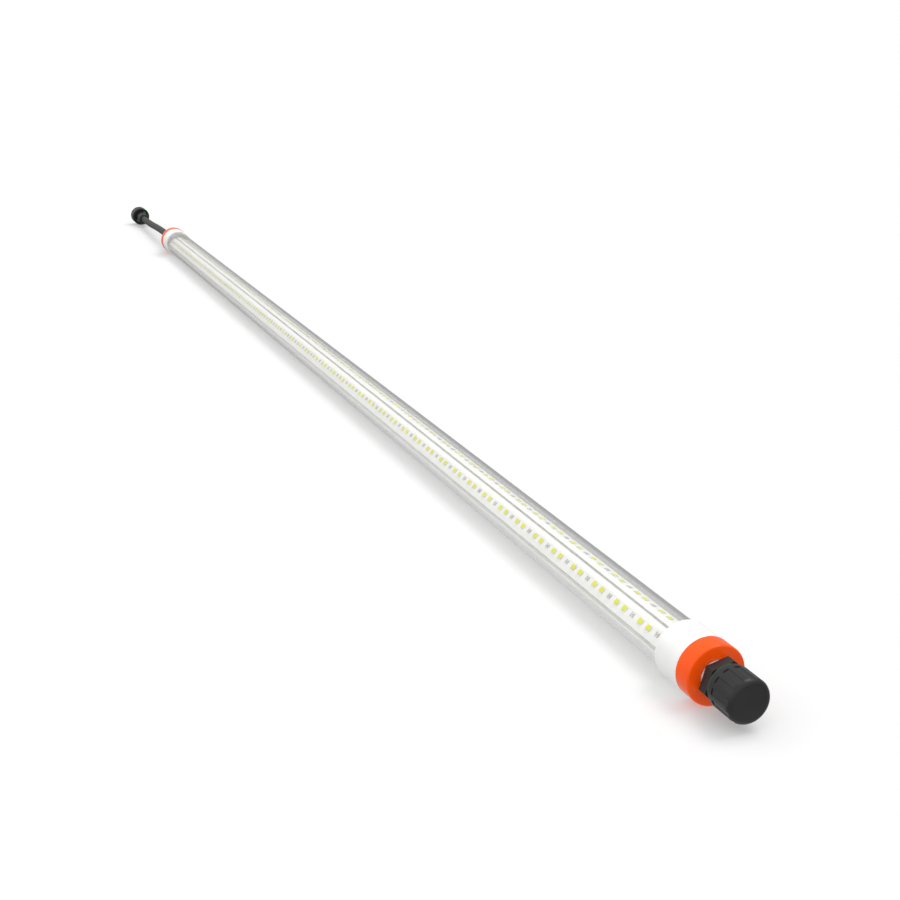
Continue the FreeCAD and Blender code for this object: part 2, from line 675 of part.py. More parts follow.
def cap_seal_disc():
    """Rubber disc in the blind cap that rests on the socket's mouth."""
    x0 = HEX_FACE_X + SPIGOT_LENGTH + FIT / 2
    return rod(x0, X_NEAR + COVER_FRONT - COVER_FACE - FIT / 2, COVER_BORE_R - FREE)


# ---------------------------------------------------------------- gland and supply cable
def gland_body():
    """Threaded shank, hexagon and clamping sleeve on the far cap's boss."""
    sleeve_end = GLAND_HEX_FRONT + GLAND_SLEEVE_LENGTH
    body = hexagon(*span("far", BOSS_LENGTH, GLAND_HEX_FRONT), GLAND_ACROSS_FLATS, GLAND_HEX_TURN)
    body = body.fuse(rod(*span("far", -SHANK_END, BOSS_LENGTH + CUT), PANEL_HOLE_R))
    body = body.fuse(rod(*span("far", GLAND_HEX_FRONT - CUT, sleeve_end), GLAND_SLEEVE_R))
    bore = rod(*span("far", -SHANK_END - CUT, sleeve_end + CUT), BOOT_ROOT_R)
    return body.cut(bore).removeSplitter()


def gland_nut():
    """Domed nut that squeezes the rubber onto the cable."""
    flats_end = GLAND_HEX_FRONT + GLAND_NUT_FLATS_LENGTH
    nut = hexagon(*span("far", GLAND_HEX_FRONT + FIT, flats_end), GLAND_ACROSS_FLATS,
                  GLAND_NUT_TURN)
    nut = nut.fuse(rod(*span("far", flats_end - CUT, GLAND_FRONT), GLAND_DOME_R))
    nut = round_rims(nut, [(X_FAR - GLAND_FRONT, GLAND_DOME_R)], GLAND_DOME_ROUND)
    sleeve_room = GLAND_HEX_FRONT + GLAND_SLEEVE_LENGTH + 2 * FREE
    nut = nut.cut(rod(*span("far", GLAND_HEX_FRONT - CUT, sleeve_room), GLAND_SLEEVE_R))
    nut = nut.cut(rod(*span("far", GLAND_HEX_FRONT, GLAND_FRONT + CUT), BOOT_ROOT_R))
    return nut.removeSplitter()


def gland_boot():
    """Rubber sleeve: sealed in the gland, then tapering along the cable."""
    start = X_FAR - BOSS_LENGTH
    tip = X_FAR - BOOT_TIP
    shoulder = X_FAR - GLAND_FRONT
    outline = [
        (start, CABLE_R),
        (start, BOOT_ROOT_R),
        (shoulder, BOOT_ROOT_R),
        (shoulder - 2, BOOT_ROOT_R + 0.5),
        (tip + 0.6, CABLE_R + 0.9),
        (tip, CABLE_R + 0.5),
        (tip, CABLE_R),
    ]
    boot = turned(outline)
    for i in range(BOOT_GROOVES):
        x = shoulder - BOOT_GROOVE_PITCH * (i + 1)
        floor = CABLE_R + 0.6 - 0.1 * i
        groove = pipe(x - BOOT_GROOVE_WIDTH / 2, x + BOOT_GROOVE_WIDTH / 2, GLAND_SLEEVE_R, floor)
        boot = boot.cut(groove)
    return boot


def supply_cable():
    route = [V(CABLE_TIP_X - along, 0, z) for along, z in CABLE_ROUTE]
    return tube_on_route(route, CABLE_R, "supply cable")


def sheath_in_gland():
    return rod(CABLE_TIP_X, X_FAR + SHEATH_END, CABLE_R)


def sheath_in_plug():
    return plug_rod(PLUG_X - PLUG_SHEATH, PLUG_X, CABLE_R)


# ---------------------------------------------------------------- plug on the cable
def plug_nut():
    """Clamping nut at the back of the plug, with a rounded nose towards the cable."""
    x0 = PLUG_X - PLUG_NUT_LENGTH
    nut = plug_rod(x0, PLUG_X, PLUG_NUT_R)
    nut = round_rims(nut, [(PLUG_X, PLUG_NUT_R)], PLUG_NUT_ROUND)
    nut = nut.cut(plug_rod(x0 - CUT, PLUG_X - PLUG_NUT_WALL, NECK_R))
    nut = nut.cut(plug_rod(x0, PLUG_X + CUT, CABLE_R))
    length, width, depth = NUT_GRIP
    for i in range(NUT_GRIP_COUNT):
        groove = Part.makeBox(length, width, depth + CUT,
                              V(x0 + width, -width / 2, PLUG_NUT_R - depth))
        groove.rotate(V(0, 0, 0), V(1, 0, 0), 360 / NUT_GRIP_COUNT * i)
        groove.translate(V(0, 0, PLUG_Z))
        nut = nut.cut(groove)
    return nut


def plug_seal():
    """Rubber bush squeezed onto the cable by the clamping nut."""
    x1 = PLUG_X - PLUG_NUT_WALL
    return plug_pipe(x1 - PLUG_SEAL_LENGTH, x1, NECK_BORE_R, CABLE_R)


def plug_body():
    """Stepped barrel: nose, flange, hub for the coupling ring, and threaded neck."""
    flange_x0 = COUPLING_X0 + FLANGE[0]
    flange_x1 = COUPLING_X0 + FLANGE[1]
    body = plug_pipe(COUPLING_X0 + NOSE_RECESS, flange_x0 + CUT, PLUG_NOSE_R, HUB_BORE_R)
    body = body.fuse(plug_pipe(flange_x0, flange_x1, FLANGE_R, HUB_BORE_R))
    body = body.fuse(plug_pipe(flange_x0, HUB_END, HUB_R, HUB_BORE_R))
    body = body.fuse(plug_pipe(HUB_END - HUB_WALL, HUB_END, HUB_R, NECK_BORE_R))
    body = body.fuse(plug_pipe(HUB_END - HUB_WALL, PLUG_X - NECK_END, NECK_R, NECK_BORE_R))
    return body.removeSplitter()


def plug_insert():
    """Contact carrier with three holes for the contact sleeves."""
    carrier = plug_rod(COUPLING_X0 + NOSE_RECESS + FREE, COUPLING_X1, HUB_BORE_R)
    for i in range(len(CORE_NAMES)):
        y, z = contact_place(i, CONTACT_CIRCLE)
        carrier = carrier.cut(rod(COUPLING_X0, COUPLING_X1 + CUT, SLEEVE_R, y, PLUG_Z + z))
    return carrier


def plug_contacts():
    """Three sleeves that take the pins of the mating socket."""
    sleeves = []
    x0 = COUPLING_X0 + NOSE_RECESS + 4 * FREE
    for i in range(len(CORE_NAMES)):
        y, z = contact_place(i, CONTACT_CIRCLE)
        sleeve = rod(x0, COUPLING_X1 + CUT, SLEEVE_R, y, PLUG_Z + z)
        bore = rod(x0 - CUT, x0 + SLEEVE_BORE_DEPTH, PIN_R + FIT / 2, y, PLUG_Z + z)
        sleeves.append(sleeve.cut(bore))
    return Part.makeCompound(sleeves)


def plug_cores():
    """The three cores between the cable's sheath and the contact sleeves."""
    cores = []
    for i in range(len(CORE_NAMES)):
        y, z = contact_place(i, CONTACT_CIRCLE)
        front = V(COUPLING_X1 + CUT + FREE, y, PLUG_Z + z)
        y, z = contact_place(i, CORE_CIRCLE)
        back = V(PLUG_X - PLUG_SHEATH - FREE, y, PLUG_Z + z)
        cores.append(Part.makeCylinder(PLUG_CORE_R, (back - front).Length, front, back - front))
    return Part.makeCompound(cores)


def coupling_ring():
    """Fluted ring that turns on the plug's hub and screws onto a socket."""
    ring = plug_rod(COUPLING_X0, COUPLING_X1, COVER_R)
    ring = round_rims(ring, [(COUPLING_X0, COVER_R)], 0.6)
    ring = round_rims(ring, [(COUPLING_X1, COVER_R)], 1.6)
    flange_room = COUPLING_X0 + FLANGE[1] + FREE
    ring = ring.cut(plug_rod(COUPLING_X0 - CUT, flange_room, COVER_BORE_R))
    ring = ring.cut(plug_rod(COUPLING_X0 - CUT, COUPLING_X0 + MOUTH_LENGTH, MOUTH_R))
    ring = ring.cut(plug_rod(COUPLING_X0, COUPLING_X1 + CUT, HUB_R + HUB_CLEARANCE))
    ring = ring.cut(plug_rod(COUPLING_X1 - BACK_RECESS, COUPLING_X1 + CUT, BACK_RECESS_R))
    x0 = COUPLING_X0 + 2.0
    return ring.cut(flutes(x0, COUPLING_X1 - 2.4, PLUG_Z, x0))


def lock_collar():
    """Collar on the hub, in the coupling ring's back recess."""
    return plug_pipe(COLLAR_X0, COLLAR_X0 + COLLAR_THICKNESS, COLLAR_R, HUB_R)


def lock_tabs():
    """Two green tabs that stand on the collar and out of the recess, on opposite sides."""
    tabs = plug_pipe(COLLAR_X0 + COLLAR_THICKNESS, COUPLING_X1 + TAB_STANDS_OUT, COLLAR_R, HUB_R)
    wedge = Part.makeBox(WIDE, 2 * COVER_R, TAB_WIDTH, V(COLLAR_X0, -COVER_R, -TAB_WIDTH / 2))
    wedge.rotate(V(0, 0, 0), V(1, 0, 0), TAB_TURN)
    wedge.translate(V(0, 0, PLUG_Z))
    return tabs.common(wedge)


# ---------------------------------------------------------------- write every piece
save("clear_tube", clear_tube())
save("led_profile", led_profile())
for end in ("near", "far"):
    save("end_cap_" + end, end_cap(end))
    save("end_ring_" + end, end_ring(end))
    save("tube_seal_" + end, tube_seal(end))
    save("end_plate_" + end, end_plate(end))
    save("plate_screws_" + end, plate_screws(end))
for name, side in (("front", -1), ("rear", 1)):
    save("led_board_" + name, led_board(side))
    save("leds_" + name, row_of(side, "led", LED_SIZE))
    save("resistors_" + name, row_of(side, "resistor", RESISTOR_SIZE))

save("driver_board", driver_board())
save("driver_insulator", driver_insulator())
save("driver_terminal", driver_block(TERMINAL_OFFSET, TERMINAL_BLOCK))
save("driver_fuse", driver_can(FUSE_OFFSET, FUSE_LENGTH, FUSE_R, FUSE_SIDE))
save("driver_choke", driver_block(CHOKE_OFFSET, CHOKE))
save("driver_rectifier", driver_block(RECTIFIER_OFFSET, RECTIFIER))
save("driver_capacitors", driver_capacitors())
save("driver_transformer", driver_block(TRANSFORMER_OFFSET, TRANSFORMER))
save("driver_transistor", driver_block(TRANSISTOR_OFFSET, TRANSISTOR, TRANSISTOR_SIDE))
save("driver_inductor", driver_block(INDUCTOR_OFFSET, INDUCTOR))
save("driver_output_terminal", driver_block(OUTPUT_TERMINAL_OFFSET, TERMINAL_BLOCK))
for core, wire in zip(CORE_NAMES, through_wires()):
    save("through_wire_" + core, wire)

save("socket_body", socket_body())
save("socket_gasket", socket_gasket())
save("socket_locknut", locknut("near"))
save("socket_insert", socket_insert())
save("socket_pins", socket_pins())
save("green_seal", green_seal())
save("blind_cap", blind_cap())
save("cap_seal_disc", cap_seal_disc())

save("gland_body", gland_body())
save("gland_locknut", locknut("far"))
save("gland_nut", gland_nut())
save("gland_boot", gland_boot())
save("supply_cable", supply_cable())
save("sheath_in_gland", sheath_in_gland())
save("sheath_in_plug", sheath_in_plug())
save("plug_nut", plug_nut())
save("plug_seal", plug_seal())
save("plug_body", plug_body())
save("plug_insert", plug_insert())
save("plug_contacts", plug_contacts())
save("plug_cores", plug_cores())
save("coupling_ring", coupling_ring())
save("lock_collar", lock_collar())
save("lock_tabs", lock_tabs())
print("near ring back at x = %.2f, far ring back at x = %.2f" % (X_NEAR, X_FAR))
print("coupling ring from x = %.2f to %.2f" % (COUPLING_X0, COUPLING_X1))
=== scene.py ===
import json
import math

import bmesh
import bpy
from mathutils import Matrix, Vector


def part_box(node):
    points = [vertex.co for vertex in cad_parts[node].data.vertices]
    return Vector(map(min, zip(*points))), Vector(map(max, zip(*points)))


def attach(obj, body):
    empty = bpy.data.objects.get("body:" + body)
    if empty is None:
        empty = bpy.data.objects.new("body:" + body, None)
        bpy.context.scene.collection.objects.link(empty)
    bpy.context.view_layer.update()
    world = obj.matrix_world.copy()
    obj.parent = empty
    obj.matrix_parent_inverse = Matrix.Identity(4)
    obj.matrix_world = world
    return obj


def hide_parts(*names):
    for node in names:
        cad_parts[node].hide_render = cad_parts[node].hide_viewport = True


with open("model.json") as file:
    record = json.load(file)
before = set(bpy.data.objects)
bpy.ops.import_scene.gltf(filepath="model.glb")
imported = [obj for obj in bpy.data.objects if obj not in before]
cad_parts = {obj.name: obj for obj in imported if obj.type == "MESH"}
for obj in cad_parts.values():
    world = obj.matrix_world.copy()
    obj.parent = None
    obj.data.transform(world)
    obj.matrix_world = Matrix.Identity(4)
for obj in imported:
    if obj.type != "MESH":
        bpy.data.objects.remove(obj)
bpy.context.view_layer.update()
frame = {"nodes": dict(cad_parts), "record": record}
nodes = frame["nodes"]

# ---------------------------------------------------------------- places read from the frame
ring_low, ring_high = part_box("end_ring_near")
X_NEAR = ring_low[0]                       # back of the near orange ring
AXIS_Z = (ring_low[2] + ring_high[2]) / 2

# ---------------------------------------------------------------- sizes
MM = 0.001
PROFILE_ROLL = math.radians(15.2)          # turn of the LED profile about the tube's axis
BOARD_TILT = math.radians(30.0)
LED_FOOT = Vector((7.17, 6.20)) * MM       # middle of an LED row, in the profile's cross-section
LED_PITCH = 10.0 * MM
LED_SIZE = Vector((4.8, 3.4, 0.7)) * MM
LED_CORNER = 0.4 * MM
# The window sits off-centre so that a wider rim of grey housing on the near-end side paints the shade
# on the package's side there
WINDOW_MARGIN = Vector((0.45, 0.2)) * MM   # housing left round the yellow window, both sides together
WINDOW_SHIFT = -0.10 * MM
WINDOW_CORNER = 1.0 * MM
WINDOW_DEPTH = 0.15 * MM
JOINT_SIZE = Vector((0.4, 2.55, 0.25)) * MM
RESISTOR_SIZE = Vector((3.4, 2.9, 0.5)) * MM
RESISTOR_BAR = 0.9 * MM                    # length of a tinned end
RESISTOR_WAIST = 0.72                      # width of the body between the ends, of the full width
GLAZE_SIDE = 1.0 * MM
RIM = 0.08 * MM                            # slope round the top edge of a small plate
CABLE_DIAMETER = 10.0 * MM
TUBE_WALL = 2.0 * MM

# Cross-section of the LED profile, in millimetres: l sideways, h towards the light side
PROFILE_R = 14.3
CAVITY_R = 12.9
ROOF_H = 4.6
ROOF_DEPTH = 3.55
GROOVE = [(1.8, 5.9), (1.8, 7.3), (1.0, 7.4), (1.05, 8.1), (3.6, 8.0)]
GUTTER = [(11.35, 0.35), (12.95, 0.0), (13.3, 1.2), (13.9, 0.9)]
RAIL_H = -1.9
BOARD_INNER = -2.3
BOARD_OUTER = 5.9

RING_HOLE_R = 10.1 * MM
RING_ROUND = 1.2 * MM                      # round on the outer rim
RING_BACK_EDGE = 0.15 * MM
RING_HOLE_EDGE = 0.3 * MM
SEAL_HOLE_R = 11.2 * MM
SEAL_SWELL = 0.7 * MM
SEAL_ROUND = 0.3 * MM


# ---------------------------------------------------------------- material tools
def new_material(name):
    """Material with a Principled shader, and its node tree."""
    material = bpy.data.materials.new(name)
    material.use_nodes = True
    tree = material.node_tree
    return material, tree, tree.nodes["Principled BSDF"]


def object_noise(tree, scale, stretch=(1, 1, 1), detail=3.0):
    """Noise in the object's own space, in features per metre, stretched along the axes."""
    coords = tree.nodes.new("ShaderNodeTexCoord")
    mapping = tree.nodes.new("ShaderNodeMapping")
    mapping.inputs["Scale"].default_value = stretch
    noise = tree.nodes.new("ShaderNodeTexNoise")
    noise.inputs["Scale"].default_value = scale
    noise.inputs["Detail"].default_value = detail
    tree.links.new(coords.outputs["Object"], mapping.inputs["Vector"])
    tree.links.new(mapping.outputs["Vector"], noise.inputs["Vector"])
    return noise.outputs["Fac"]


def remap(tree, source, low, high):
    """Value from low to high as source goes through the middle of its range."""
    node = tree.nodes.new("ShaderNodeMapRange")
    node.inputs["From Min"].default_value = 0.3
    node.inputs["From Max"].default_value = 0.7
    node.inputs["To Min"].default_value = low
    node.inputs["To Max"].default_value = high
    tree.links.new(source, node.inputs["Value"])
    return node.outputs["Result"]


def tint(tree, source, dark, light):
    """Colour between two linear colours, driven by source."""
    ramp = tree.nodes.new("ShaderNodeValToRGB")
    ramp.color_ramp.elements[0].position = 0.3
    ramp.color_ramp.elements[0].color = (*dark, 1)
    ramp.color_ramp.elements[1].position = 0.7
    ramp.color_ramp.elements[1].color = (*light, 1)
    tree.links.new(source, ramp.inputs["Fac"])
    return ramp.outputs["Color"]


def bump(tree, shader, source, height):
    """Small relief of the given height in metres."""
    node = tree.nodes.new("ShaderNodeBump")
    node.inputs["Distance"].default_value = height
    tree.links.new(source, node.inputs["Height"])
    tree.links.new(node.outputs["Normal"], shader.inputs["Normal"])


def plastic(name, dark, light, rough, grain, relief, stretch=(1, 1, 1), shine=0.5):
    """Moulded plastic or rubber: a slightly uneven colour and gloss over a fine grain."""
    material, tree, shader = new_material(name)
    broad = object_noise(tree, 60, detail=2)
    fine = object_noise(tree, grain, stretch)
    tree.links.new(tint(tree, broad, dark, light), shader.inputs["Base Color"])
    tree.links.new(remap(tree, fine, rough - 0.05, rough + 0.05), shader.inputs["Roughness"])
    shader.inputs["Specular IOR Level"].default_value = shine
    bump(tree, shader, fine, relief)
    return material


def metal(name, dark, light, rough, grain, stretch=(1, 1, 1)):
    """Bare or plated metal with fine scratches."""
    material, tree, shader = new_material(name)
    fine = object_noise(tree, grain, stretch)
    shader.inputs["Metallic"].default_value = 1.0
    tree.links.new(tint(tree, fine, dark, light), shader.inputs["Base Color"])
    tree.links.new(remap(tree, fine, rough - 0.06, rough + 0.06), shader.inputs["Roughness"])
    bump(tree, shader, fine, 0.00001)
    return material


def clear_plastic(name):
    """Clear extruded tube that lamps and scattered light pass straight through."""
    material, tree, shader = new_material(name)
    shader.inputs["Base Color"].default_value = (1, 1, 1, 1)
    shader.inputs["IOR"].default_value = 1.40
    shader.inputs["Transmission Weight"].default_value = 1.0
    streaks = object_noise(tree, 300, (0.01, 1, 1), detail=1)
    tree.links.new(remap(tree, streaks, 0.0, 0.004), shader.inputs["Roughness"])
    path = tree.nodes.new("ShaderNodeLightPath")
    either = tree.nodes.new("ShaderNodeMath")
    either.operation = "MAXIMUM"
    tree.links.new(path.outputs["Is Shadow Ray"], either.inputs[0])
    tree.links.new(path.outputs["Is Diffuse Ray"], either.inputs[1])
    see_through = tree.nodes.new("ShaderNodeBsdfTransparent")
    mix = tree.nodes.new("ShaderNodeMixShader")
    tree.links.new(either.outputs[0], mix.inputs["Fac"])
    tree.links.new(shader.outputs[0], mix.inputs[1])
    tree.links.new(see_through.outputs[0], mix.inputs[2])
    output = tree.nodes["Material Output"]
    tree.links.new(mix.outputs[0], output.inputs["Surface"])
    return material


# ---------------------------------------------------------------- materials
CLEAR = clear_plastic("clear_tube_plastic")
WHITE = plastic("white_moulding", (0.86, 0.86, 0.84), (0.90, 0.90, 0.88), 0.34, 2200, 0.000001)
ORANGE = plastic("orange_moulding", (0.94, 0.086, 0.0030), (0.98, 0.098, 0.004), 0.17, 2400,
                 0.000001, shine=0.20)
BLACK = plastic("black_moulding", (0.009, 0.009, 0.0095), (0.013, 0.013, 0.0135), 0.36, 2600,
                0.000003, shine=0.34)
EXTRUSION = plastic("white_extrusion", (0.78, 0.78, 0.75), (0.82, 0.82, 0.79), 0.40, 900,
                    0.000001, stretch=(0.02, 1, 1))
BOARD = plastic("white_solder_mask", (0.75, 0.755, 0.72), (0.79, 0.795, 0.76), 0.40, 2500,
                0.000001)
# LED housing: a white package toned grey as painted shade for its shaded side
HOUSING_PAINTED_SHADE = plastic("led_housing_painted_shade", (0.60, 0.60, 0.52), (0.66, 0.66, 0.58), 0.45, 3500, 0.000001)
PHOSPHOR = plastic("led_phosphor", (0.64, 0.65, 0.001), (0.70, 0.71, 0.003), 0.50, 3500,
                   0.000001, shine=0.04)
SOLDER = metal("solder", (0.62, 0.62, 0.60), (0.80, 0.80, 0.78), 0.35, 2500)
TINNED = plastic("tinned_end", (0.36, 0.36, 0.36), (0.46, 0.46, 0.46), 0.45, 2500, 0.000001)
CERAMIC = plastic("chip_resistor", (0.62, 0.58, 0.56), (0.70, 0.66, 0.64), 0.4, 2500, 0.000001)
RED_GLAZE = plastic("resistor_glaze", (0.42, 0.20, 0.19), (0.50, 0.26, 0.25), 0.3, 2500, 0.000001)
GREEN_MASK = plastic("green_solder_mask", (0.02, 0.16, 0.06), (0.03, 0.22, 0.09), 0.35, 900,
                     0.00001)
EPOXY = plastic("black_epoxy", (0.018, 0.018, 0.02), (0.03, 0.03, 0.032), 0.5, 2200, 0.00001)
GREY_PART = plastic("grey_component", (0.24, 0.25, 0.27), (0.32, 0.33, 0.35), 0.5, 1800, 0.00001)
FERRITE = plastic("ferrite", (0.045, 0.045, 0.05), (0.075, 0.075, 0.08), 0.7, 2600, 0.00002)
FILM = plastic("insulating_film", (0.70, 0.70, 0.64), (0.78, 0.78, 0.72), 0.35, 500, 0.00001)
CAN = metal("can", (0.60, 0.61, 0.63), (0.75, 0.76, 0.78), 0.3, 900)
STEEL = metal("plated_steel", (0.52, 0.53, 0.55), (0.68, 0.69, 0.71), 0.28, 1800)
BRASS = metal("plated_brass", (0.66, 0.50, 0.24), (0.80, 0.64, 0.34), 0.25, 1800)
BROWN_WIRE = plastic("brown_insulation", (0.13, 0.05, 0.02), (0.17, 0.07, 0.03), 0.4, 900, 0.00001)
BLUE_WIRE = plastic("blue_insulation", (0.02, 0.08, 0.32), (0.03, 0.11, 0.40), 0.4, 900, 0.00001)
EARTH_WIRE = plastic("earth_insulation", (0.20, 0.38, 0.03), (0.34, 0.46, 0.04), 0.4, 900, 0.00001)
SEAL = plastic("seal_rubber", (0.022, 0.022, 0.022), (0.034, 0.034, 0.034), 0.6, 1400, 0.000004)
GREEN = plastic("green_tab", (0.010, 0.26, 0.012), (0.015, 0.34, 0.018), 0.4, 1400, 0.000002)
# Green rubber of the near seal, darkened with painted shade for the hollow between the hexagon and
# the blind cap
GREEN_PAINTED_SHADE = plastic("green_seal", (0.019, 0.038, 0.019), (0.025, 0.050, 0.025), 0.45, 1400,
                     0.000002, shine=0.3)
PALE_SEAL = plastic("pale_seal", (0.45, 0.45, 0.44), (0.56, 0.56, 0.55), 0.55, 1400, 0.00001)
CABLE = plastic("cable_sheath", (0.030, 0.030, 0.030), (0.038, 0.038, 0.038), 0.55, 1500,
                0.000003, stretch=(0.3, 1, 1), shine=0.3)

SLOT_MATERIALS = {
    "clear_tube": CLEAR,
    "white_plastic": WHITE,
    "orange_plastic": ORANGE,
    "black_plastic": BLACK,
    "white_extrusion": EXTRUSION,
    "circuit_white": BOARD,
    "led_body": HOUSING_PAINTED_SHADE,
    "resistor_body": CERAMIC,
    "circuit_green": GREEN_MASK,
    "component_black": EPOXY,
    "component_grey": GREY_PART,
    "ferrite": FERRITE,
    "can_aluminium": CAN,
    "insulating_film": FILM,
    "screw_steel": STEEL,
    "wire_brown": BROWN_WIRE,
    "wire_blue": BLUE_WIRE,
    "wire_earth": EARTH_WIRE,
    "contact_metal": BRASS,
    "seal_rubber": SEAL,
    "green_rubber": GREEN,
    "clear_seal": PALE_SEAL,
    "cable_rubber": CABLE,
}

for subpart in frame["record"]["subparts"]:
    piece = nodes[subpart["node"]]
    for material_slot in piece.material_slots:
        material_slot.material = SLOT_MATERIALS[subpart["material_slot"]]


# ---------------------------------------------------------------- mesh tools
def add_object(name, mesh, materials, sharp=None):
    """Object that rides on the light, smooth up to the sharp angle in degrees, or else flat."""
    data = bpy.data.meshes.new(name)
    mesh.to_mesh(data)
    mesh.free()
    if sharp is not None:
        data.shade_smooth()
        data.set_sharp_from_angle(angle=math.radians(sharp))
    for material in materials:
        data.materials.append(material)
    obj = bpy.data.objects.new(name, data)
    bpy.context.scene.collection.objects.link(obj)
    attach(obj, "light")
    return obj


def lathe(name, outline, material, steps=192):
    """Closed ring turned about the tube's axis, from an outline of (x, radius) corners."""
    mesh = bmesh.new()
    loops = []
    for step in range(steps):
        angle = 2 * math.pi * step / steps
        loops.append([mesh.verts.new((x, r * math.sin(angle), AXIS_Z + r * math.cos(angle)))
                      for x, r in outline])
    count = len(outline)
    for step in range(steps):
        here = loops[step]
        there = loops[(step + 1) % steps]
        for i in range(count):
            j = (i + 1) % count
            mesh.faces.new((here[i], here[j], there[j], there[i]))
    bmesh.ops.recalc_face_normals(mesh, faces=mesh.faces)
    return add_object(name, mesh, [material], sharp=30)


def rounded(x, r, out, size, steps=6):
    """Points round the outer corner at (x, r) of a ring whose solid lies towards -out."""
    points = []
    for step in range(steps + 1):
        angle = math.pi / 2 * step / steps
        points.append((x - out * size * (1 - math.sin(angle)),
                       r - size * (1 - math.cos(angle))))
    return points


def board_matrix(side, x):
    """Place on a sloping board at x: local X along the tube, Z out of the board's face."""
    roll = Matrix.Rotation(PROFILE_ROLL, 4, "X")
    tilt = Matrix.Rotation(-side * BOARD_TILT, 4, "X")
    foot = Matrix.Translation((x, side * LED_FOOT[0], LED_FOOT[1]))
    return Matrix.Translation((0, 0, AXIS_Z)) @ roll @ foot @ tilt


def rounded_plate(mesh, matrix, size, corner, low, high, inset, material):
    """Plate with rounded upright corners, whose top is inset to leave a sloping rim."""
    loops = []
    for z, shrink in ((low, 0.0), (high - inset, 0.0), (high, inset)):
        half_x = size[0] / 2 - shrink
        half_y = size[1] / 2 - shrink
        radius = max(corner - shrink, corner * 0.3)
        loop = []
        for sx, sy, start in ((1, 1, 0), (-1, 1, 90), (-1, -1, 180), (1, -1, 270)):
            for step in range(4):
                angle = math.radians(start + 30 * step)
                x = sx * (half_x - radius) + radius * math.cos(angle)
                y = sy * (half_y - radius) + radius * math.sin(angle)
                loop.append(mesh.verts.new(matrix @ Vector((x, y, z))))
        loops.append(loop)
    for a, b in zip(loops, loops[1:]):
        for i in range(len(a)):
            j = (i + 1) % len(a)
            mesh.faces.new((a[i], a[j], b[j], b[i])).material_index = material
    mesh.faces.new(loops[-1]).material_index = material
    mesh.faces.new(list(reversed(loops[0]))).material_index = material


def component_places(name):
    """X of every component of one row: two LEDs and one resistor by turns, at an even pitch."""
    low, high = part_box(name)
    is_leds = name.startswith("leds")
    size = LED_SIZE.x if is_leds else RESISTOR_SIZE.x
    gaps = (LED_PITCH, 2 * LED_PITCH) if is_leds else (3 * LED_PITCH, 3 * LED_PITCH)
    places = []
    x = high[0] - size / 2
    while x > low[0]:
        places.append(x)
        x -= gaps[(len(places) - 1) % 2]
    return places


def build_leds(name, side):
    """LED packages: housing greyed with painted shade, yellow window over nearly the whole face, two
    joints.
    """
    mesh = bmesh.new()
    long, wide, high = LED_SIZE
    for x in component_places(name):
        place = board_matrix(side, x)
        rounded_plate(mesh, place, (long, wide), LED_CORNER, 0.0, high - RIM, 0.05 * MM, 0)
        window = place @ Matrix.Translation((WINDOW_SHIFT, 0, 0))
        rounded_plate(mesh, window, (long - WINDOW_MARGIN.x, wide - WINDOW_MARGIN.y),
                      WINDOW_CORNER, high - WINDOW_DEPTH, high, RIM, 1)
        for end in (-1, 1):
            joint = place @ Matrix.Translation((end * long / 2, 0, 0))
            rounded_plate(mesh, joint, JOINT_SIZE.xy, 0.15 * MM, 0.0, JOINT_SIZE.z, RIM, 2)
    leds = add_object(name + "_detail", mesh, [HOUSING_PAINTED_SHADE, PHOSPHOR, SOLDER])
    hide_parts(name)


def build_resistors(name, side):
    """Chip resistors: pale body with a reddish glaze between two tinned end bars."""
    mesh = bmesh.new()
    long, wide, high = RESISTOR_SIZE
    for x in component_places(name):
        place = board_matrix(side, x)
        rounded_plate(mesh, place, (long - 0.8 * MM, wide * RESISTOR_WAIST), 0.05 * MM, 0.0,
                      high - 0.05 * MM, RIM / 2, 0)
        rounded_plate(mesh, place, (GLAZE_SIDE, GLAZE_SIDE), 0.2 * MM, high - 0.1 * MM, high,
                      RIM / 2, 1)
        for end in (-1, 1):
            bar = place @ Matrix.Translation((end * (long - RESISTOR_BAR) / 2, 0, 0))
            rounded_plate(mesh, bar, (RESISTOR_BAR, wide), 0.12 * MM, 0.0, high, 0.1 * MM, 2)
    resistors = add_object(name + "_detail", mesh, [CERAMIC, RED_GLAZE, TINNED])
    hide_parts(name)


def across(l, h, x):
    """Point of the LED profile's cross-section: l sideways, h towards the light side."""
    turn = Matrix.Rotation(PROFILE_ROLL, 4, "X")
    return Matrix.Translation((x, 0, AXIS_Z)) @ turn @ Vector((0, l * MM, h * MM))


def on_slope(s, n):
    """Sideways place and height of a point s down the right-hand slope and n out of its board."""
    return (LED_FOOT.x / MM + s * math.cos(BOARD_TILT) + n * math.sin(BOARD_TILT),
            LED_FOOT.y / MM - s * math.sin(BOARD_TILT) + n * math.cos(BOARD_TILT))


def arc(radius, height, steps):
    """Points on a circle round the tube's axis, from right to left at one height, round the back."""
    start = math.asin(height / radius)
    end = -math.pi - math.asin(height / radius)
    points = []
    for step in range(steps + 1):
        angle = start + (end - start) * step / steps
        points.append((radius * math.cos(angle), radius * math.sin(angle)))
    return points


def profile_outline():
    """Outside of the LED profile: ridge with a groove, two board seats, rails, round back."""
    right = list(GROOVE)
    right += [on_slope(BOARD_INNER, 0), on_slope(BOARD_INNER, -1), on_slope(BOARD_OUTER, -1)]
    right += GUTTER
    left = [(-l, h) for l, h in reversed(right)]
    return left + right + arc(PROFILE_R, RAIL_H, 256)


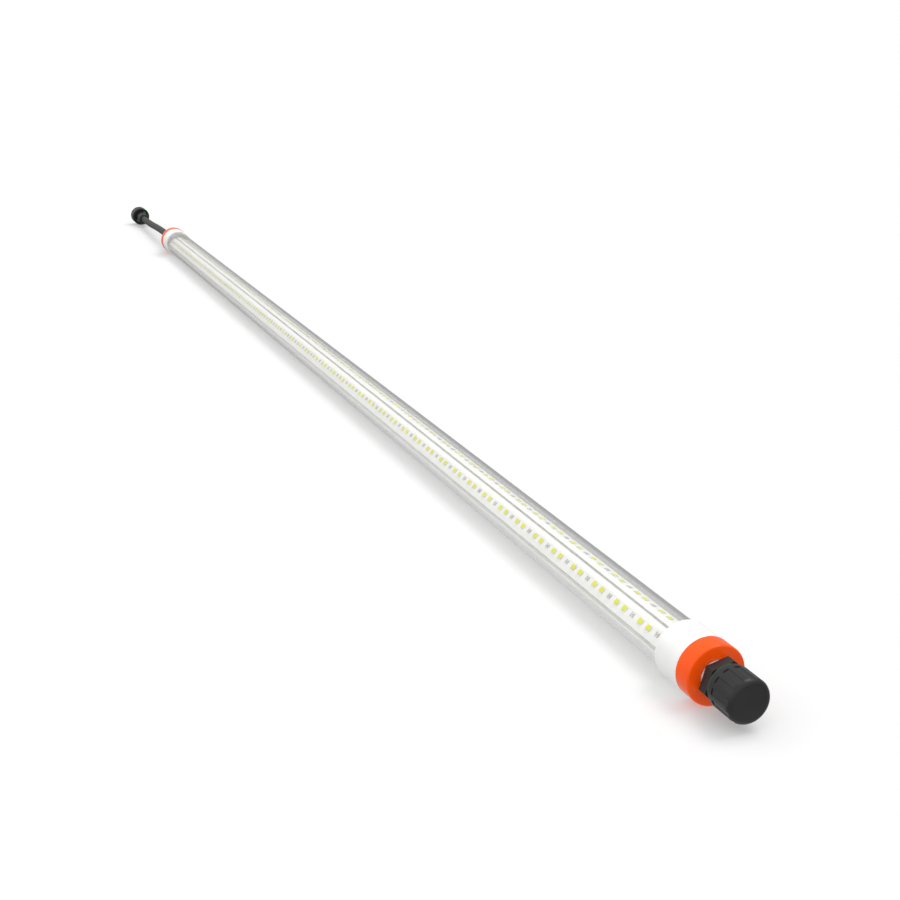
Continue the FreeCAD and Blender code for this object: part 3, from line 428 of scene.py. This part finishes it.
def cavity_outline():
    """Hollow of the LED profile: round below, with a roof that follows the boards."""
    l, h = on_slope(0, -ROOF_DEPTH)
    slope = math.tan(BOARD_TILT)
    flat_l = l + (h - ROOF_H) / slope
    reach = l * math.sin(BOARD_TILT) + h * math.cos(BOARD_TILT)
    corner_h = reach * math.cos(BOARD_TILT) - math.sin(BOARD_TILT) * math.sqrt(
        CAVITY_R ** 2 - reach ** 2)
    return [(-flat_l, ROOF_H), (flat_l, ROOF_H)] + arc(CAVITY_R, corner_h, 64)


def build_profile():
    """White extrusion that carries the boards."""
    low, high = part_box("led_profile")
    mesh = bmesh.new()
    edges = []
    for outline in (profile_outline(), cavity_outline()):
        loop = [mesh.verts.new(across(l, h, low[0])) for l, h in outline]
        edges += [mesh.edges.new((loop[i - 1], loop[i])) for i in range(len(loop))]
    bmesh.ops.triangle_fill(mesh, use_beauty=True, edges=edges)
    grown = bmesh.ops.extrude_face_region(mesh, geom=list(mesh.faces))
    moved = [v for v in grown["geom"] if isinstance(v, bmesh.types.BMVert)]
    bmesh.ops.translate(mesh, verts=moved, vec=(high[0] - low[0], 0, 0))
    bmesh.ops.recalc_face_normals(mesh, faces=mesh.faces)
    profile = add_object("led_profile_extrusion", mesh, [EXTRUSION], sharp=20)
    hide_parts("led_profile")


def build_tube():
    """The clear tube with a fine, even surface."""
    low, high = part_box("clear_tube")
    outer = (high[1] - low[1]) / 2
    outline = [(low[0], outer - TUBE_WALL), (low[0], outer), (high[0], outer),
               (high[0], outer - TUBE_WALL)]
    tube = lathe("clear_tube_wall", outline, CLEAR, steps=256)
    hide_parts("clear_tube")


def build_ring(end, out):
    """Orange end ring with a rounded outer rim."""
    low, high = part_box("end_ring_" + end)
    back, front = (low[0], high[0]) if out > 0 else (high[0], low[0])
    outer = (high[1] - low[1]) / 2
    outline = [(back, RING_HOLE_R), (back, outer - RING_BACK_EDGE)]
    outline += [(back + out * RING_BACK_EDGE, outer)]
    outline += rounded(front, outer, out, RING_ROUND)
    outline += [(front, RING_HOLE_R + RING_HOLE_EDGE), (front - out * RING_HOLE_EDGE, RING_HOLE_R)]
    ring = lathe("end_ring_%s_moulding" % end, outline, ORANGE)
    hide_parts("end_ring_" + end)


def build_seal():
    """Green ring that fills the gap between the hexagon and the blind cap, in a green darkened to
    paint the shade it sits in.
    """
    low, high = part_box("green_seal")
    outer = (high[1] - low[1]) / 2 + SEAL_SWELL
    outline = [(low[0], SEAL_HOLE_R), (low[0], outer - SEAL_ROUND)]
    outline += [(low[0] + SEAL_ROUND, outer), (high[0] - SEAL_ROUND, outer)]
    outline += [(high[0], outer - SEAL_ROUND), (high[0], SEAL_HOLE_R)]
    seal = lathe("green_seal_ring", outline, GREEN_PAINTED_SHADE)
    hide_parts("green_seal")


build_tube()
build_profile()
build_seal()
build_ring("near", 1)
build_ring("far", -1)
for row, side in (("front", -1), ("rear", 1)):
    build_leds("leds_" + row, side)
    build_resistors("resistors_" + row, side)


# ---------------------------------------------------------------- supply cable
CABLE_ROUTE = [(-0.81505, 0.019), (-0.87305, 0.019), (-0.96505, 0.01395), (-1.01805, 0.01395)]


def build_cable():
    """Supply cable from the gland's boot to the plug on the ground."""
    curve = bpy.data.curves.new("supply_cable_line", "CURVE")
    curve.dimensions = "3D"
    curve.bevel_depth = CABLE_DIAMETER / 2
    curve.bevel_resolution = 8
    curve.resolution_u = 24
    curve.use_fill_caps = True
    spline = curve.splines.new("NURBS")
    spline.points.add(len(CABLE_ROUTE) - 1)
    for point, (x, z) in zip(spline.points, CABLE_ROUTE):
        point.co = (x, 0, z, 1)
    spline.order_u = 3
    spline.use_endpoint_u = True
    curve.materials.append(CABLE)
    cable = bpy.data.objects.new("supply_cable_sheath", curve)
    bpy.context.scene.collection.objects.link(cable)
    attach(cable, "light")
    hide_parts("supply_cable")


build_cable()


# ---------------------------------------------------------------- floor, light and camera
FLOOR_HALF = 60.0
FLOOR_GLOW_ALONG = (-0.08, 1, 0)           # the glow under the tube changes across its axis
SKY_ALONG = (0.4, -0.7, 1)                 # brightest overhead and on the camera's side
SUN_DIRECTION = Vector((-0.1, 0.50, 1.0))
SUN_WIDTH = math.radians(32)
SUN_STRENGTH = 1.10
CAMERA_PLACE = (X_NEAR + 0.6229, -0.4043, AXIS_Z + 0.3692)
CAMERA_AIM = Vector((-0.88267, 0.35148, -0.3120))
CAMERA_LENS = 56.56


def sky_shade(tree, direction, weights, low, high):
    """Brightness that grows with how far a direction or place lies along the weights."""
    along = tree.nodes.new("ShaderNodeVectorMath")
    along.operation = "DOT_PRODUCT"
    along.inputs[1].default_value = weights
    tree.links.new(direction, along.inputs[0])
    ramp = tree.nodes.new("ShaderNodeMapRange")
    ramp.inputs["From Min"].default_value = low[0]
    ramp.inputs["From Max"].default_value = high[0]
    ramp.inputs["To Min"].default_value = low[1]
    ramp.inputs["To Max"].default_value = high[1]
    tree.links.new(along.outputs["Value"], ramp.inputs["Value"])
    return ramp.outputs["Result"]


def build_floor():
    """Plain white floor, with a graded glow for every ray but the camera's own."""
    mesh = bpy.data.meshes.new("floor")
    corners = [(x * FLOOR_HALF, y * FLOOR_HALF, 0) for x, y in ((-1, -1), (1, -1), (1, 1), (-1, 1))]
    mesh.from_pydata(corners, [], [(0, 1, 2, 3)])
    material, tree, shader = new_material("floor_white")
    patches = object_noise(tree, 3, detail=2)
    tree.links.new(tint(tree, patches, (0.56, 0.56, 0.56), (0.58, 0.58, 0.58)),
                   shader.inputs["Base Color"])
    shader.inputs["Roughness"].default_value = 0.6
    shader.inputs["Specular IOR Level"].default_value = 0.1
    shader.inputs["Emission Color"].default_value = (1, 1, 1, 1)
    shader.inputs["Emission Strength"].default_value = 0.25
    coords = tree.nodes.new("ShaderNodeTexCoord")
    glow = tree.nodes.new("ShaderNodeEmission")
    shade = sky_shade(tree, coords.outputs["Object"], FLOOR_GLOW_ALONG, (-0.06, 0.66), (0.06, 0.40))
    tree.links.new(shade, glow.inputs["Strength"])
    path = tree.nodes.new("ShaderNodeLightPath")
    mix = tree.nodes.new("ShaderNodeMixShader")
    tree.links.new(path.outputs["Is Camera Ray"], mix.inputs["Fac"])
    tree.links.new(glow.outputs[0], mix.inputs[1])
    tree.links.new(shader.outputs[0], mix.inputs[2])
    tree.links.new(mix.outputs[0], tree.nodes["Material Output"].inputs["Surface"])
    mesh.materials.append(material)
    floor = bpy.data.objects.new("floor", mesh)
    bpy.context.scene.collection.objects.link(floor)


def build_light():
    """Sky brightest overhead and on one side, seen as plain white, and a broad soft sun."""
    world = bpy.data.worlds.new("sky")
    world.use_nodes = True
    tree = world.node_tree
    background = tree.nodes["Background"]
    background.inputs["Color"].default_value = (1, 1, 1, 1)
    coords = tree.nodes.new("ShaderNodeTexCoord")
    shade = sky_shade(tree, coords.outputs["Generated"], SKY_ALONG, (-0.3, 0.50), (0.6, 1.19))
    tree.links.new(shade, background.inputs["Strength"])
    backdrop = tree.nodes.new("ShaderNodeBackground")
    backdrop.inputs["Color"].default_value = (1, 1, 1, 1)
    path = tree.nodes.new("ShaderNodeLightPath")
    mix = tree.nodes.new("ShaderNodeMixShader")
    tree.links.new(path.outputs["Is Camera Ray"], mix.inputs["Fac"])
    tree.links.new(background.outputs[0], mix.inputs[1])
    tree.links.new(backdrop.outputs[0], mix.inputs[2])
    tree.links.new(mix.outputs[0], tree.nodes["World Output"].inputs["Surface"])
    bpy.context.scene.world = world

    sun = bpy.data.lights.new("sun", "SUN")
    sun.energy = SUN_STRENGTH
    sun.angle = SUN_WIDTH
    lamp = bpy.data.objects.new("sun", sun)
    lamp.rotation_euler = SUN_DIRECTION.to_track_quat("Z", "Y").to_euler()
    bpy.context.scene.collection.objects.link(lamp)
    bpy.context.scene.view_settings.view_transform = "Standard"


def build_camera():
    """Camera low over the near end, looking along the tube."""
    data = bpy.data.cameras.new("camera")
    data.lens = CAMERA_LENS
    data.sensor_width = 36.0
    data.clip_start = 0.01
    data.clip_end = 200.0
    camera = bpy.data.objects.new("camera", data)
    camera.location = CAMERA_PLACE
    camera.rotation_euler = CAMERA_AIM.to_track_quat("-Z", "Y").to_euler()
    bpy.context.scene.collection.objects.link(camera)
    bpy.context.scene.camera = camera


build_floor()
build_light()
build_camera()
